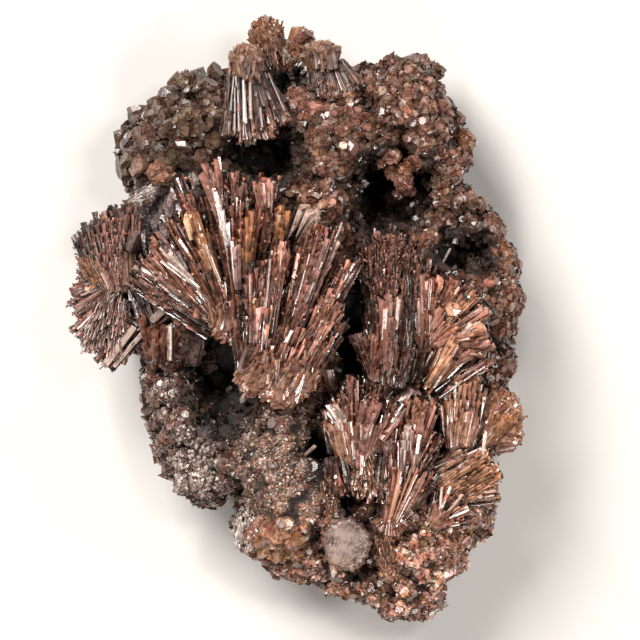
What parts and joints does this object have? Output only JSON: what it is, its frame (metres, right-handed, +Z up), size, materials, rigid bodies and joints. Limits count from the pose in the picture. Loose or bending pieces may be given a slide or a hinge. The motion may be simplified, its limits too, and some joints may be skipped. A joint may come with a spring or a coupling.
{
  "type": "pyromorphite specimen",
  "caption": "Hand specimen of brown pyromorphite: sheaves and fans of six-sided crystals on pitted matrix rock, lying on its flat broken back.",
  "frame": {"origin": "middle of the flat broken face of the back, on which the specimen lies", "axes": "+Z up out of the crystal side, +Y to the top of the specimen along its longest extent, +X to its right"},
  "size_m": [0.0595, 0.0787, 0.0327],
  "materials": {
    "matrix_rock": "rough, sugary with small crystals",
    "brown_crystal": "resinous, striated along the crystals",
    "tan_crystal": "resinous, translucent tan and orange",
    "pale_crystal": "satin, sugary"
  },
  "bodies": {
    "root": {"matrix": "matrix_rock", "central_spray": "brown_crystal", "tall_sheaf": "brown_crystal", "right_fan": "brown_crystal", "lower_fan": "brown_crystal", "small_fan": "brown_crystal", "shelf_sheaf": "tan_crystal", "upright_sheaf": "tan_crystal", "edge_fan": "tan_crystal", "left_wing": "brown_crystal", "top_left_sheaf": "brown_crystal", "top_knob": "tan_crystal", "top_right_sheaf": "brown_crystal", "pale_plate": "pale_crystal"}
  },
  "joints": []
}
